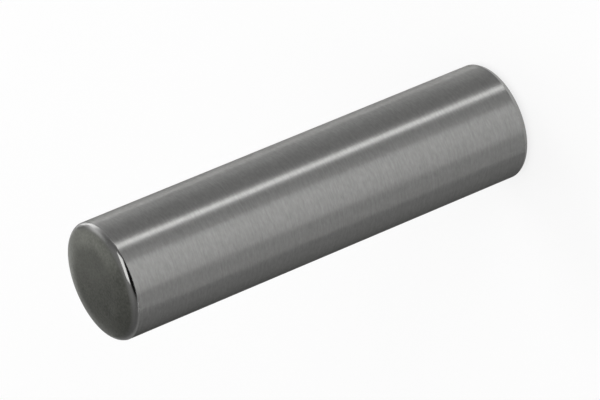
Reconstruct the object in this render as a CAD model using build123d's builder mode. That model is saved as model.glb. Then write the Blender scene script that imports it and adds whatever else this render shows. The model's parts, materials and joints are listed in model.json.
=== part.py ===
from build123d import *

import os
from math import cos, radians, sin

# A solid piston pin. It stands on its lower end, with its axis on +Z and the origin at the middle of that end.
# Lengths are in millimetres.

# Driving dimensions
pin_diameter = 12.0  # ground outside, the running surface
pin_length = 47.6  # over both flat ends
corner_radius = 0.95  # polished corner between each end and the ground outside
corner_end_angle = 75.0  # degrees from flat at which grinding the outside cut the corner off, in a crisp edge
rim_roll_radius = 6.0  # soft roll that tumbling leaves round the rim of each end
rim_roll_angle = 20.0  # degrees from flat at which the roll ends and the corner starts

# Places that follow from them
pin_radius = pin_diameter / 2
roll_turn = radians(rim_roll_angle)
corner_turn = radians(corner_end_angle)
roll_width = rim_roll_radius * sin(roll_turn)
corner_width = corner_radius * (sin(corner_turn) - sin(roll_turn))
land_radius = pin_radius - corner_width - roll_width  # flat middle of each end
roll_rise = rim_roll_radius * (1 - cos(roll_turn))
end_rise = roll_rise + corner_radius * (cos(roll_turn) - cos(corner_turn))
corner_sweep = corner_end_angle - rim_roll_angle
upper_corner_start = (-cos(corner_turn), sin(corner_turn))  # way the upper corner leaves the crisp edge

# Half of the pin's section, from the axis out to the ground side and back, turned round the axis.
with BuildPart() as pin:
    with BuildSketch(Plane.XZ):
        with BuildLine():
            lower_land = Line((0, 0), (land_radius, 0))
            lower_roll = JernArc(lower_land @ 1, lower_land % 1, rim_roll_radius, rim_roll_angle)
            lower_corner = JernArc(lower_roll @ 1, lower_roll % 1, corner_radius, corner_sweep)
            ground_side = Line(lower_corner @ 1, (pin_radius, pin_length - end_rise))
            upper_corner = JernArc(ground_side @ 1, upper_corner_start, corner_radius, corner_sweep)
            upper_roll = JernArc(upper_corner @ 1, upper_corner % 1, rim_roll_radius, rim_roll_angle)
            upper_land = Line(upper_roll @ 1, (0, pin_length))
            Line(upper_land @ 1, lower_land @ 0)
        make_face()
    revolve(axis=Axis.Z)

pin.part.label = "piston_pin"

os.makedirs("parts", exist_ok=True)
export_step(pin.part, "parts/piston_pin.step")
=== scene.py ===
"""Studio picture of a ground steel piston pin that stands on its lower end on a plain white floor."""

import json
import logging
import math
from dataclasses import dataclass, field
from enum import Enum
from typing import Any

import bmesh
import bpy
from mathutils import Matrix, Quaternion, Vector


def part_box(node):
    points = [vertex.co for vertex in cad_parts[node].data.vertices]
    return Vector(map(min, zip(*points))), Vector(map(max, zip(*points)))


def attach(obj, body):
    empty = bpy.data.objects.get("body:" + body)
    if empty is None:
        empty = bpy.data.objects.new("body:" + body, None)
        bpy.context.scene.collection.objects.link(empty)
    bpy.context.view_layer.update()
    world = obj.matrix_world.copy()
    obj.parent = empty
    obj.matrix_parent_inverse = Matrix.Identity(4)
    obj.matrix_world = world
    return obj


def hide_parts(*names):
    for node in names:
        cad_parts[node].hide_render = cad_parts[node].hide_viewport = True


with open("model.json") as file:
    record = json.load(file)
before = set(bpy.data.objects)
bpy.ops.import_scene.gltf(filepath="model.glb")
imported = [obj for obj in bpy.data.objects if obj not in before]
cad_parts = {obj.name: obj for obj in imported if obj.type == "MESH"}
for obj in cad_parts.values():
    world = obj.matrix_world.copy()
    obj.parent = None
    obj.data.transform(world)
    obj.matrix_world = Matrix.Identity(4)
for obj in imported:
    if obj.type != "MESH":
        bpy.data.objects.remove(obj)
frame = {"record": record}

log = logging.getLogger("piston_pin")

MM = 0.001
PICTURE_WIDTH_PX = 600
PICTURE_HEIGHT_PX = 400
SENSOR_WIDTH_MM = 36.0
AXIS_RING_RADIUS = 1e-9
MERGE_DISTANCE = 0.001 * MM
MIRROR_UP = Vector((1.0, 1.0, -1.0))
POLISH = "polish"
ZONE = "zone"

Colour = tuple[float, float, float, float]
Span = tuple[float, float]

WHITE: Colour = (1.0, 1.0, 1.0, 1.0)


class Zone(Enum):
    """The differently finished parts of the pin's surface."""

    GROUND_SIDE = 0
    TUMBLED_END = 1


@dataclass(frozen=True)
class Pattern:
    """A noise pattern: how many features a metre holds along X, Y and Z, and how many finer layers."""

    scale: tuple[float, float, float]
    detail: float


class NodeSheet:
    """A node tree with short calls to add and join nodes."""

    def __init__(self, tree: bpy.types.NodeTree) -> None:
        """Keeps the tree that the calls add to."""
        self.tree = tree

    def add(self, kind: str, settings: dict[str, Any] | None = None, **inputs: Any) -> bpy.types.Node:
        """Adds a node.

        Args:
            kind: The node's type name.
            settings: The node's own properties.
            **inputs: Values or sockets for its inputs, by name with underscores for spaces.

        Returns:
            The new node.
        """
        node = self.tree.nodes.new(kind)
        for name, value in (settings or {}).items():
            setattr(node, name, value)
        for name, value in inputs.items():
            self.feed(node.inputs[name.replace("_", " ")], value)
        return node

    def feed(self, socket: bpy.types.NodeSocket, value: Any) -> None:
        """Links a socket to an input, or sets the input to a plain value.

        Args:
            socket: The input.
            value: Value or socket.
        """
        if isinstance(value, bpy.types.NodeSocket):
            self.tree.links.new(value, socket)
        else:
            socket.default_value = value

    def math(self, operation: str, first: Any, second: Any = 0.0) -> bpy.types.NodeSocket:
        """Adds a Math node.

        Args:
            operation: The Math node's operation.
            first: Value or socket.
            second: Value or socket.

        Returns:
            The result's socket.
        """
        node = self.tree.nodes.new("ShaderNodeMath")
        node.operation = operation
        self.feed(node.inputs[0], first)
        self.feed(node.inputs[1], second)
        return node.outputs[0]

    def weigh(self, *shares: tuple[bpy.types.NodeSocket, float]) -> bpy.types.NodeSocket:
        """Adds values up by their weights.

        Args:
            *shares: Each value's socket and its weight.

        Returns:
            The sum's socket.
        """
        parts = [self.math("MULTIPLY", value, weight) for value, weight in shares]
        total = parts[0]
        for part in parts[1:]:
            total = self.math("ADD", total, part)
        return total

    def noise(self, pattern: Pattern) -> bpy.types.NodeSocket:
        """Adds a noise over the piece's own coordinates.

        Args:
            pattern: The noise's scale and detail.

        Returns:
            The noise's value, about 0.5 on average.
        """
        place = self.add("ShaderNodeTexCoord").outputs["Object"]
        stretched = self.add("ShaderNodeMapping", Vector=place, Scale=pattern.scale)
        node = self.add(
            "ShaderNodeTexNoise",
            Vector=stretched.outputs[0],
            Scale=1.0,
            Detail=pattern.detail,
        )
        return node.outputs["Fac"]

    def spread(
        self,
        value: Any,
        low: Any,
        high: Any,
        out_low: Any = 0.0,
        out_high: Any = 1.0,
    ) -> bpy.types.NodeSocket:
        """Maps a value from one range to another and holds it there.

        Args:
            value: Value or socket.
            low: Where the first range starts.
            high: Where the first range ends.
            out_low: Where the second range starts.
            out_high: Where the second range ends.

        Returns:
            The result's socket.
        """
        node = self.add(
            "ShaderNodeMapRange",
            Value=value,
            From_Min=low,
            From_Max=high,
            To_Min=out_low,
            To_Max=out_high,
        )
        return node.outputs["Result"]

    def blend(self, share: Any, first: Any, second: Any) -> bpy.types.NodeSocket:
        """Blends two colours.

        Args:
            share: How much of the second colour there is, from 0 to 1.
            first: Colour or socket.
            second: Colour or socket.

        Returns:
            The result's socket.
        """
        node = self.add("ShaderNodeMix", {"data_type": "RGBA"})
        self.feed(node.inputs[0], share)
        self.feed(node.inputs[6], first)
        self.feed(node.inputs[7], second)
        return node.outputs[2]


def new_finish(name: str) -> tuple[bpy.types.Material, NodeSheet, bpy.types.Node]:
    """Starts a metal finish.

    Args:
        name: The material's name.

    Returns:
        The material, its node sheet and its shader.
    """
    material = bpy.data.materials.new(name)
    material.use_nodes = True
    shader = material.node_tree.nodes["Principled BSDF"]
    shader.inputs["Metallic"].default_value = 1.0
    return material, NodeSheet(material.node_tree), shader


@dataclass(frozen=True)
class GroundSteel:
    """The ground outside: steel with fine lines round it, shiny across them and dull along the pin."""

    furrow: Colour = (0.1655, 0.1655, 0.1622, 1.0)
    ridge: Colour = (0.2353, 0.2353, 0.2301, 1.0)
    edge_tint: Colour = (0.24, 0.24, 0.24, 1.0)
    roughness: Span = (0.415, 0.455)
    anisotropy: float = 1.0
    lay: float = 0.25
    fine_lines: Pattern = Pattern((60.0, 60.0, 12000.0), 2.0)
    broad_lines: Pattern = Pattern((25.0, 25.0, 2600.0), 3.0)
    specks: Pattern = Pattern((1800.0, 1800.0, 5200.0), 2.0)
    smudges: Pattern = Pattern((260.0, 260.0, 120.0), 3.0)
    fine_share: float = 0.6
    broad_share: float = 0.4
    line_share: float = 0.35
    speck_share: float = 0.43
    smudge_share: float = 0.22
    tone_span: Span = (0.32, 0.68)
    smudge_span: Span = (0.3, 0.7)
    line_depth: float = 0.004 * MM
    line_strength: float = 0.4

    def material(self) -> bpy.types.Material:
        """Builds the material.

        Returns:
            The material.
        """
        material, sheet, shader = new_finish("ground_steel")
        fine = sheet.noise(self.fine_lines)
        broad = sheet.noise(self.broad_lines)
        speck = sheet.noise(self.specks)
        smudge = sheet.noise(self.smudges)
        lines = sheet.weigh((fine, self.fine_share), (broad, self.broad_share))
        tone = sheet.weigh((lines, self.line_share), (speck, self.speck_share), (smudge, self.smudge_share))
        colour = sheet.blend(sheet.spread(tone, *self.tone_span), self.furrow, self.ridge)
        sheet.feed(shader.inputs["Base Color"], colour)
        roughness = sheet.spread(smudge, *self.smudge_span, *self.roughness)
        sheet.feed(shader.inputs["Roughness"], roughness)
        grooves = sheet.add(
            "ShaderNodeBump",
            Strength=self.line_strength,
            Distance=self.line_depth,
            Height=lines,
        )
        sheet.feed(shader.inputs["Normal"], grooves.outputs["Normal"])
        shader.inputs["Specular Tint"].default_value = self.edge_tint
        shader.inputs["Anisotropic"].default_value = self.anisotropy
        shader.inputs["Anisotropic Rotation"].default_value = self.lay
        tangent = sheet.add("ShaderNodeTangent", {"direction_type": "RADIAL", "axis": "Z"})
        sheet.feed(shader.inputs["Tangent"], tangent.outputs[0])
        return material


@dataclass(frozen=True)
class TumbledEnd:
    """The end: matte and mottled, with painted shade that makes the face lighter towards +X, and a polished
    corner, rougher at two sides, whose steel colour is painted lighter or darker by side and lightest at the
    heel as painted reflections.
    """

    pit: Colour = (0.0635, 0.0649, 0.0582, 1.0)
    peen: Colour = (0.161, 0.1642, 0.1473, 1.0)
    # Painted reflections: the polished corner's steel colour is painted dim or bright by side, darker at the
    # tip and lighter as a middle sheen.
    dull: Colour = (0.148, 0.148, 0.1455, 1.0)
    painted_bright_sheen: Colour = (0.222, 0.222, 0.218, 1.0)
    painted_dark_tip: Colour = (0.112, 0.112, 0.11, 1.0)
    painted_middle_sheen: Colour = (0.215, 0.215, 0.211, 1.0)
    # Painted reflection: the heel, the corner at the lower end, is painted much lighter, dim at -X and
    # bright at +X.
    heel_painted_dim_sheen: Colour = (0.2, 0.2, 0.1965, 1.0)
    heel_painted_bright_sheen: Colour = (0.48, 0.48, 0.4715, 1.0)
    heel_rise: float = 3.0 * MM
    matte_roughness: Span = (0.5, 0.4)
    polished_roughness: Span = (0.13, 0.1)
    worn_roughness: float = 0.33
    # Between these distances from the middle across X, the corner grows rougher and its painted middle sheen
    # gives way to the painted side colours.
    wear_and_sheen_start: float = 2.3 * MM
    wear_and_sheen_end: float = 4.0 * MM
    grain: Pattern = Pattern((4200.0, 4200.0, 4200.0), 3.0)
    patches: Pattern = Pattern((520.0, 520.0, 520.0), 4.0)
    knocks: Pattern = Pattern((700.0, 700.0, 700.0), 3.0)
    edge_tint: Colour = (0.58, 0.58, 0.58, 1.0)
    # How far across X the heel's painted reflection runs from dim to bright.
    painted_heel_sheen_reach: float = 6.0 * MM
    # Across X, where the corner's painted reflections turn from dim to bright and then to the darker tip.
    painted_sheen_start: float = 3.6 * MM
    painted_sheen_end: float = 5.0 * MM
    painted_dark_tip_start: float = 5.1 * MM
    painted_dark_tip_end: float = 5.6 * MM
    # Painted shade: across X the end face is painted lighter between these two points.
    painted_shade_low: float = -2.2 * MM
    painted_shade_high: float = 2.8 * MM
    grain_share: float = 0.3
    patch_share: float = 0.2
    painted_shade_share: float = 0.136
    tone_span: Span = (0.16, 0.46)
    knock_span: Span = (0.3, 0.7)
    outer_share: float = 0.7
    knock_share: float = 0.3
    grain_depth: float = 0.02 * MM
    grain_strength: Span = (0.35, 0.02)

    def material(self) -> bpy.types.Material:
        """Builds the material, which reads how polished the surface is from the mesh.

        Returns:
            The material.
        """
        material, sheet, shader = new_finish("tumbled_end")
        polish = sheet.add("ShaderNodeAttribute", {"attribute_name": POLISH}).outputs["Fac"]
        grain = sheet.noise(self.grain)
        patch = sheet.noise(self.patches)
        place = sheet.add("ShaderNodeTexCoord").outputs["Object"]
        axes = sheet.add("ShaderNodeSeparateXYZ", Vector=place).outputs
        across = axes["X"]
        # Painted shade: a lean across X, mixed with the random grain and patches, paints the face lighter
        # towards +X.
        painted_shade_lean = sheet.spread(across, self.painted_shade_low, self.painted_shade_high)
        tone = sheet.weigh((grain, self.grain_share), (patch, self.patch_share), (painted_shade_lean, self.painted_shade_share))
        mottle_and_painted_shade = sheet.spread(tone, *self.tone_span)
        matte = sheet.blend(mottle_and_painted_shade, self.pit, self.peen)
        knock = sheet.spread(sheet.noise(self.knocks), *self.knock_span)
        # Painted reflections: the corner is painted dim or bright by side across X, with random knocks, and
        # darker at the tip.
        outer = sheet.spread(across, self.painted_sheen_start, self.painted_sheen_end)
        painted_sheen = sheet.weigh((outer, self.outer_share), (knock, self.knock_share))
        painted_dark_tip_share = sheet.spread(across, self.painted_dark_tip_start, self.painted_dark_tip_end)
        sides = sheet.blend(painted_dark_tip_share, sheet.blend(painted_sheen, self.dull, self.painted_bright_sheen), self.painted_dark_tip)
        # The corner keeps a painted sheen, a painted reflection, near the middle across X; towards both
        # sides it grows rougher and takes the painted side colours.
        wear_and_painted_sheen = sheet.spread(sheet.math("ABSOLUTE", across), self.wear_and_sheen_start, self.wear_and_sheen_end)
        upper = sheet.blend(wear_and_painted_sheen, self.painted_middle_sheen, sides)
        # Painted reflection: the heel, the corner at the lower end, is painted much lighter, from dim at -X
        # to bright at +X, and the corner's lowest part takes it.
        painted_heel_sheen_across = sheet.spread(across, -self.painted_heel_sheen_reach, self.painted_heel_sheen_reach)
        heel = sheet.blend(painted_heel_sheen_across, self.heel_painted_dim_sheen, self.heel_painted_bright_sheen)
        polished = sheet.blend(sheet.spread(axes["Z"], 0.0, self.heel_rise), heel, upper)
        sheet.feed(shader.inputs["Base Color"], sheet.blend(polish, matte, polished))
        matte_roughness = sheet.spread(mottle_and_painted_shade, 0.0, 1.0, *self.matte_roughness)
        polished_roughness = sheet.spread(knock, 0.0, 1.0, *self.polished_roughness)
        corner_roughness = sheet.spread(wear_and_painted_sheen, 0.0, 1.0, polished_roughness, self.worn_roughness)
        roughness = sheet.spread(polish, 0.0, 1.0, matte_roughness, corner_roughness)
        sheet.feed(shader.inputs["Roughness"], roughness)
        strength = sheet.spread(polish, 0.0, 1.0, *self.grain_strength)
        dents = sheet.add("ShaderNodeBump", Strength=strength, Distance=self.grain_depth, Height=grain)
        sheet.feed(shader.inputs["Normal"], dents.outputs["Normal"])
        shader.inputs["Specular Tint"].default_value = self.edge_tint
        return material


@dataclass
class PistonPin:
    """The pin, turned from its half section by Geometry Nodes."""

    corner_radius: float = 0.95 * MM
    corner_angle: float = math.radians(75.0)
    roll_radius: float = 6.0 * MM
    roll_angle: float = math.radians(20.0)
    polish_angle: float = math.radians(48.0)
    sharp_angle: float = math.radians(9.0)
    turns: int = 256
    land_steps: int = 24
    roll_steps: int = 10
    corner_steps: int = 16
    side_steps: int = 64
    radius: float = field(init=False)
    length: float = field(init=False)

    def __post_init__(self) -> None:
        """Reads the pin's radius from its journal and its length from its CAD node."""
        low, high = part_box("piston_pin")
        journal = next(mount for mount in frame["record"]["mounts"] if mount["name"] == "journal")
        self.radius = journal["dims"]["r_mm"] * MM
        self.length = high.z - low.z

    def build(self) -> bpy.types.Object:
        """Makes the pin's mesh, dresses it and puts it in the frame.

        Returns:
            The pin's object.
        """
        tree = self.lathe()
        holder = bpy.data.objects.new("pin_lathe", bpy.data.meshes.new("pin_lathe"))
        bpy.context.scene.collection.objects.link(holder)
        modifier = holder.modifiers.new("lathe", "NODES")
        modifier.node_group = tree
        sizes = {
            "Radius": self.radius,
            "Length": self.length,
            "Corner Radius": self.corner_radius,
            "Corner Angle": self.corner_angle,
            "Roll Radius": self.roll_radius,
            "Roll Angle": self.roll_angle,
            "Polish Angle": self.polish_angle,
            "Sharp Angle": self.sharp_angle,
            "Turns": self.turns,
            "Land Steps": self.land_steps,
            "Roll Steps": self.roll_steps,
            "Corner Steps": self.corner_steps,
            "Side Steps": self.side_steps,
            "Ground Side": GroundSteel().material(),
            "Tumbled End": TumbledEnd().material(),
        }
        for item in tree.interface.items_tree:
            if item.in_out == "INPUT":
                modifier[item.identifier] = sizes[item.name]
        graph = bpy.context.evaluated_depsgraph_get()
        mesh = bpy.data.meshes.new_from_object(holder.evaluated_get(graph))
        bpy.data.objects.remove(holder)
        pin = bpy.data.objects.new("ground_pin", mesh)
        bpy.context.scene.collection.objects.link(pin)
        self.face_outwards(mesh)
        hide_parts("piston_pin")
        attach(pin, "root")
        log.info("ground_pin: %d faces, %d materials", len(mesh.polygons), len(mesh.materials))
        return pin

    @staticmethod
    def face_outwards(mesh: bpy.types.Mesh) -> None:
        """Turns every face of a closed mesh outwards.

        Args:
            mesh: The mesh, changed in place.
        """
        shell = bmesh.new()
        shell.from_mesh(mesh)
        bmesh.ops.recalc_face_normals(shell, faces=shell.faces)
        shell.to_mesh(mesh)
        shell.free()

    def lathe(self) -> bpy.types.NodeTree:
        """Builds the tree that turns the half section round the pin's axis.

        Returns:
            The tree, with a named input for each size and finish.
        """
        tree = bpy.data.node_groups.new("pin_lathe", "GeometryNodeTree")
        for name in (
            "Radius",
            "Length",
            "Corner Radius",
            "Corner Angle",
            "Roll Radius",
            "Roll Angle",
            "Polish Angle",
            "Sharp Angle",
        ):
            tree.interface.new_socket(name, in_out="INPUT", socket_type="NodeSocketFloat")
        for name in ("Turns", "Land Steps", "Roll Steps", "Corner Steps", "Side Steps"):
            tree.interface.new_socket(name, in_out="INPUT", socket_type="NodeSocketInt")
        for name in ("Ground Side", "Tumbled End"):
            tree.interface.new_socket(name, in_out="INPUT", socket_type="NodeSocketMaterial")
        tree.interface.new_socket("Pin", in_out="OUTPUT", socket_type="NodeSocketGeometry")
        sheet = NodeSheet(tree)
        given = sheet.add("NodeGroupInput").outputs
        right_angle = math.pi / 2
        roll_sine = sheet.math("SINE", given["Roll Angle"])
        roll_cosine = sheet.math("COSINE", given["Roll Angle"])
        corner_sine = sheet.math("SINE", given["Corner Angle"])
        corner_cosine = sheet.math("COSINE", given["Corner Angle"])
        roll_width = sheet.math("MULTIPLY", given["Roll Radius"], roll_sine)
        roll_rise = sheet.math("MULTIPLY", given["Roll Radius"], sheet.math("SUBTRACT", 1.0, roll_cosine))
        start_drop = sheet.math("MULTIPLY", given["Corner Radius"], roll_cosine)
        edge_drop = sheet.math("MULTIPLY", given["Corner Radius"], corner_cosine)
        centre_rise = sheet.math("ADD", roll_rise, start_drop)
        end_rise = sheet.math("SUBTRACT", centre_rise, edge_drop)
        corner_reach = sheet.math("MULTIPLY", given["Corner Radius"], corner_sine)
        corner_centre = sheet.math("SUBTRACT", given["Radius"], corner_reach)
        roll_reach = sheet.math("MULTIPLY", given["Corner Radius"], roll_sine)
        land = sheet.math("SUBTRACT", sheet.math("ADD", corner_centre, roll_reach), roll_width)
        far_rise = sheet.math("SUBTRACT", given["Length"], end_rise)
        ring = sheet.add(
            "GeometryNodeCurvePrimitiveCircle",
            {"mode": "RADIUS"},
            Resolution=given["Turns"],
            Radius=AXIS_RING_RADIUS,
        )

        def turned(profile: bpy.types.NodeSocket, zone: Zone, polish: Any) -> bpy.types.NodeSocket:
            """Sweeps a stretch of the section round the axis and marks its zone and how polished it is.

            Args:
                profile: The stretch's curve.
                zone: The zone of its surface.
                polish: Value or socket from 0, matte, to 1, polished.

            Returns:
                The surface's socket.
            """
            marked = sheet.add(
                "GeometryNodeStoreNamedAttribute",
                {"data_type": "FLOAT", "domain": "POINT"},
                Geometry=profile,
                Name=POLISH,
                Value=polish,
            ).outputs["Geometry"]
            swept = sheet.add("GeometryNodeCurveToMesh", Curve=ring.outputs["Curve"], Profile_Curve=marked)
            upright = sheet.add("GeometryNodeTransform", Geometry=swept.outputs["Mesh"], Scale=MIRROR_UP)
            return sheet.add(
                "GeometryNodeStoreNamedAttribute",
                {"data_type": "INT", "domain": "FACE"},
                Geometry=upright.outputs["Geometry"],
                Name=ZONE,
                Value=zone.value,
            ).outputs["Geometry"]

        def point(across: Any, up: Any) -> bpy.types.NodeSocket:
            """Makes a point of the section, across from the axis and up from the lower end."""
            return sheet.add("ShaderNodeCombineXYZ", X=across, Y=up).outputs[0]

        def straight(start: Any, end: Any, steps: bpy.types.NodeSocket) -> bpy.types.NodeSocket:
            """Makes a straight stretch of the section in even steps.

            Args:
                start: The point that it starts from.
                end: The point that it ends at.
                steps: How many steps it has.

            Returns:
                The curve's socket.
            """
            line = sheet.add("GeometryNodeCurvePrimitiveLine", {"mode": "POINTS"}, Start=start, End=end)
            count = sheet.math("ADD", steps, 1.0)
            return sheet.add(
                "GeometryNodeResampleCurve",
                {"mode": "COUNT"},
                Curve=line.outputs["Curve"],
                Count=count,
            ).outputs["Curve"]

        def arc(centre: Any, radius: Any, start: Any, sweep: Any, steps: Any) -> bpy.types.NodeSocket:
            """Makes a round stretch of the section.

            Args:
                centre: The centre's point.
                radius: The radius.
                start: The angle that it starts at, from the way across.
                sweep: The angle that it turns through.
                steps: How many steps it has.

            Returns:
                The curve's socket.
            """
            bend = sheet.add(
                "GeometryNodeCurveArc",
                {"mode": "RADIUS"},
                Resolution=sheet.math("ADD", steps, 1.0),
                Radius=radius,
                Start_Angle=start,
                Sweep_Angle=sweep,
            )
            return sheet.add(
                "GeometryNodeTransform",
                Geometry=bend.outputs["Curve"],
                Translation=centre,
            ).outputs["Geometry"]

        flat = straight(point(0.0, 0.0), point(land, 0.0), given["Land Steps"])
        roll = arc(
            point(land, given["Roll Radius"]),
            given["Roll Radius"],
            -right_angle,
            given["Roll Angle"],
            given["Roll Steps"],
        )
        corner_turn = sheet.math("SUBTRACT", given["Corner Angle"], given["Roll Angle"])
        corner = arc(
            point(corner_centre, centre_rise),
            given["Corner Radius"],
            sheet.math("SUBTRACT", given["Roll Angle"], right_angle),
            corner_turn,
            given["Corner Steps"],
        )
        side = straight(
            point(given["Radius"], end_rise),
            point(given["Radius"], far_rise),
            given["Side Steps"],
        )
        polish_turn = sheet.math("SUBTRACT", given["Polish Angle"], given["Roll Angle"])
        along = sheet.add("GeometryNodeSplineParameter").outputs["Factor"]
        polish = sheet.spread(sheet.math("MULTIPLY", along, corner_turn), 0.0, polish_turn)
        end = sheet.add("GeometryNodeJoinGeometry")
        for strip, polished in ((flat, 0.0), (roll, 0.0), (corner, polish)):
            tree.links.new(turned(strip, Zone.TUMBLED_END, polished), end.inputs[0])
        other_end = sheet.add(
            "GeometryNodeTransform",
            Geometry=end.outputs[0],
            Translation=sheet.add("ShaderNodeCombineXYZ", Z=given["Length"]).outputs[0],
            Scale=MIRROR_UP,
        )
        whole = sheet.add("GeometryNodeJoinGeometry")
        for strip in (end.outputs[0], other_end.outputs[0], turned(side, Zone.GROUND_SIDE, 1.0)):
            tree.links.new(strip, whole.inputs[0])
        closed = sheet.add("GeometryNodeMergeByDistance", Geometry=whole.outputs[0], Distance=MERGE_DISTANCE)
        smooth = sheet.add("GeometryNodeSetShadeSmooth", Geometry=closed.outputs[0])
        fold = sheet.add("GeometryNodeInputMeshEdgeAngle").outputs["Unsigned Angle"]
        crisp = sheet.add(
            "GeometryNodeSetShadeSmooth",
            {"domain": "EDGE"},
            Geometry=smooth.outputs[0],
            Selection=sheet.math("GREATER_THAN", fold, given["Sharp Angle"]),
            Shade_Smooth=False,
        )
        result = sheet.add("GeometryNodeRealizeInstances", Geometry=crisp.outputs[0]).outputs[0]
        names = {
            Zone.GROUND_SIDE: "Ground Side",
            Zone.TUMBLED_END: "Tumbled End",
        }
        for zone, name in names.items():
            mark = sheet.add("GeometryNodeInputNamedAttribute", {"data_type": "INT"}, Name=ZONE)
            here = sheet.add("FunctionNodeCompare", {"data_type": "INT", "operation": "EQUAL"})
            tree.links.new(mark.outputs["Attribute"], here.inputs[2])
            here.inputs[3].default_value = zone.value
            result = sheet.add(
                "GeometryNodeSetMaterial",
                Geometry=result,
                Selection=here.outputs["Result"],
                Material=given[name],
            ).outputs[0]
        out = sheet.add("NodeGroupOutput")
        tree.links.new(result, out.inputs["Pin"])
        return tree


def direction(azimuth: float, elevation: float) -> Vector:
    """Gives a direction from the pin.

    Args:
        azimuth: Degrees from the camera's side, towards +X.
        elevation: Degrees above the floor.

    Returns:
        The direction, of length 1.
    """
    turn = math.radians(azimuth)
    lift = math.radians(elevation)
    return Vector((math.sin(turn) * math.cos(lift), -math.cos(turn) * math.cos(lift), math.sin(lift)))


@dataclass(frozen=True)
class Softbox:
    """A rectangular studio lamp that faces the pin."""

    name: str
    azimuth: float
    elevation: float
    width: float
    height: float
    radiance: float
    tilt: float = 0.0
    distance: float = 0.4

    def build(self, target: Vector) -> bpy.types.Object:
        """Hangs the lamp.

        Args:
            target: The point that the lamp faces.

        Returns:
            The lamp's object.
        """
        lamp = bpy.data.lights.new(self.name, "AREA")
        lamp.shape = "RECTANGLE"
        lamp.size = self.width
        lamp.size_y = self.height
        lamp.energy = self.radiance * math.pi * self.width * self.height
        box = bpy.data.objects.new(self.name, lamp)
        box.visible_camera = False
        bpy.context.scene.collection.objects.link(box)
        out = direction(self.azimuth, self.elevation)
        box.location = target + out * self.distance
        box.rotation_mode = "QUATERNION"
        tilt = Quaternion((0.0, 0.0, 1.0), math.radians(self.tilt))
        box.rotation_quaternion = out.to_track_quat("Z", "Y") @ tilt
        return box


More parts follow.
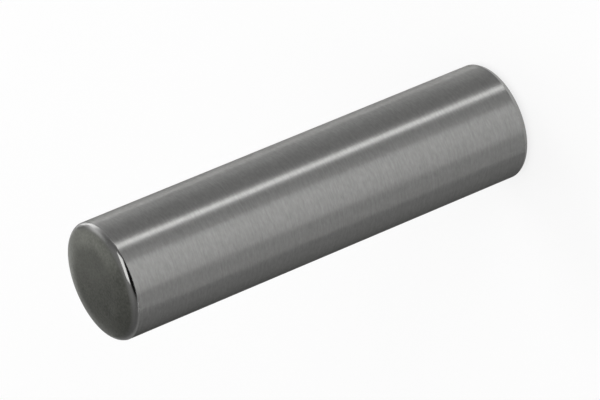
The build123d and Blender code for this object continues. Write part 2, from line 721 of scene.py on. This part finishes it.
@dataclass(frozen=True)
class Studio:
    """The round white floor with its upturned rim, the dim room and the lamps."""

    floor_radius: float = 1.4
    rim_radius: float = 0.25
    rim_steps: int = 12
    turns: int = 96
    floor_colour: Colour = (0.97, 0.97, 0.97, 1.0)
    floor_glow: float = 0.8
    room_level: float = 0.25
    ceiling_level: float = 0.42
    gap_azimuth: float = -14.0
    gap_elevation: float = 4.0
    gap_inner: float = 30.0
    gap_outer: float = 44.0
    # Name, azimuth and elevation in degrees, width and height in metres, radiance, and tilt in degrees.
    lamps: tuple[Softbox, ...] = (
        Softbox("front", -12.8, 2.8, 0.423, 0.037, 22.1),
        Softbox("fill", -58.7, -1.7, 0.284, 0.02, 12.1),
        Softbox("streak", 48.0, -1.26, 0.049, 0.025, 142.0),
        Softbox("key", 12.3, 44.5, 0.37, 0.165, 2.5, -41.0),
        Softbox("side", 113.4, 23.5, 0.22, 0.38, 1.65),
        Softbox("rim", 131.5, 3.0, 0.22, 0.056, 13.3),
        Softbox("back", 162.0, 38.0, 0.13, 0.27, 1.2),
        Softbox("backdrop", 174.0, 6.0, 0.36, 0.09, 2.5),
    )

    def build(self, target: Vector) -> None:
        """Lays the floor, lights the room and hangs the lamps.

        Args:
            target: The point that the lamps hang round.
        """
        scene = bpy.context.scene
        scene.view_settings.view_transform = "Standard"
        world = bpy.data.worlds.new("room")
        scene.world = world
        world.use_nodes = True
        self.light_room(NodeSheet(world.node_tree))
        floor = bpy.data.objects.new("floor", self.lay_floor())
        scene.collection.objects.link(floor)
        floor.data.materials.append(self.paint_floor())
        for lamp in self.lamps:
            lamp.build(target)
            log.info("lamp %s", lamp.name)

    def lay_floor(self) -> bpy.types.Mesh:
        """Makes the round floor, which curves up at its rim.

        Returns:
            The floor's mesh.
        """
        section = [(self.floor_radius, 0.0)]
        for step in range(1, self.rim_steps + 1):
            bend = math.pi / 2 * step / self.rim_steps
            across = self.floor_radius + self.rim_radius * math.sin(bend)
            section.append((across, self.rim_radius * (1.0 - math.cos(bend))))
        points = []
        for across, up in section:
            for turn in range(self.turns):
                angle = 2.0 * math.pi * turn / self.turns
                points.append((across * math.cos(angle), across * math.sin(angle), up))
        faces = [tuple(range(self.turns))]
        for row in range(self.rim_steps):
            for turn in range(self.turns):
                after = (turn + 1) % self.turns
                low = row * self.turns
                high = low + self.turns
                faces.append((low + turn, high + turn, high + after, low + after))
        mesh = bpy.data.meshes.new("floor")
        mesh.from_pydata(points, [], faces)
        mesh.shade_smooth()
        return mesh

    def paint_floor(self) -> bpy.types.Material:
        """Makes the white of the floor, which the camera and the metal see almost evenly.

        Returns:
            The material, which keeps the pin's shadow.
        """
        material = bpy.data.materials.new("white_floor")
        material.use_nodes = True
        sheet = NodeSheet(material.node_tree)
        paint = material.node_tree.nodes["Principled BSDF"]
        paint.inputs["Base Color"].default_value = self.floor_colour
        paint.inputs["Roughness"].default_value = 1.0
        paint.inputs["Specular IOR Level"].default_value = 0.0
        white = sheet.add("ShaderNodeEmission", Color=WHITE, Strength=1.0)
        path = sheet.add("ShaderNodeLightPath").outputs
        seen = sheet.math("MAXIMUM", path["Is Camera Ray"], path["Is Glossy Ray"])
        seen = sheet.math("MAXIMUM", seen, path["Is Transmission Ray"])
        mix = sheet.add("ShaderNodeMixShader")
        sheet.feed(mix.inputs[0], sheet.math("MULTIPLY", seen, self.floor_glow))
        sheet.feed(mix.inputs[1], paint.outputs["BSDF"])
        sheet.feed(mix.inputs[2], white.outputs["Emission"])
        sheet.feed(material.node_tree.nodes["Material Output"].inputs["Surface"], mix.outputs[0])
        return material

    def light_room(self, sheet: NodeSheet) -> None:
        """Makes the room dim, lighter towards the ceiling and dark in the gap below the key lamp.

        Args:
            sheet: The node sheet of the world.
        """
        ray = sheet.add("ShaderNodeTexCoord").outputs["Generated"]
        up = sheet.add("ShaderNodeSeparateXYZ", Vector=ray).outputs["Z"]
        ceiling = sheet.math("MAXIMUM", up, 0.0)
        level = sheet.math("ADD", sheet.math("MULTIPLY", ceiling, self.ceiling_level), self.room_level)
        aim = sheet.add("ShaderNodeVectorMath", {"operation": "DOT_PRODUCT"})
        sheet.feed(aim.inputs[0], ray)
        aim.inputs[1].default_value = direction(self.gap_azimuth, self.gap_elevation)
        outer = math.cos(math.radians(self.gap_outer))
        inner = math.cos(math.radians(self.gap_inner))
        open_share = sheet.spread(aim.outputs["Value"], outer, inner, 1.0, 0.0)
        background = sheet.tree.nodes["Background"]
        background.inputs["Color"].default_value = WHITE
        sheet.feed(background.inputs["Strength"], sheet.math("MULTIPLY", level, open_share))


@dataclass(frozen=True)
class PhotoCamera:
    """The camera, placed so that the pin lies in the picture as it does in the photograph."""

    focal_px: float = 4740.0
    distance: float = 461.2 * MM
    elevation: float = math.radians(27.4)
    axis_angle: float = math.radians(22.574)
    centre_px: tuple[float, float] = (301.03, 199.57)
    clip_near: float = 0.01
    clip_far: float = 10.0

    def build(self, target: Vector) -> None:
        """Sets the camera up.

        Args:
            target: The point that the picture shows at centre_px.
        """
        data = bpy.data.cameras.new("photo_camera")
        data.sensor_width = SENSOR_WIDTH_MM
        data.lens = self.focal_px / PICTURE_WIDTH_PX * SENSOR_WIDTH_MM
        data.clip_start = self.clip_near
        data.clip_end = self.clip_far
        camera = bpy.data.objects.new("photo_camera", data)
        bpy.context.scene.collection.objects.link(camera)
        back = Vector((0.0, -math.cos(self.elevation), math.sin(self.elevation)))
        level = back.to_track_quat("Z", "Y").to_matrix().to_4x4()
        roll = Matrix.Rotation(-(math.pi / 2 + self.axis_angle), 4, "Z")
        turn = level @ roll
        across = (PICTURE_WIDTH_PX / 2 - self.centre_px[0]) / self.focal_px * self.distance
        down = (PICTURE_HEIGHT_PX / 2 - self.centre_px[1]) / self.focal_px * self.distance
        step_back = Matrix.Translation((across, -down, self.distance))
        camera.matrix_world = Matrix.Translation(target) @ turn @ step_back
        bpy.context.scene.camera = camera


def main() -> None:
    """Builds the pin, the studio and the camera."""
    logging.basicConfig(level=logging.INFO)
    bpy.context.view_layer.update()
    pin = PistonPin()
    pin.build()
    middle = Vector((0.0, 0.0, pin.length / 2))
    Studio().build(middle)
    PhotoCamera().build(middle)


if __name__ == "__main__":
    main()
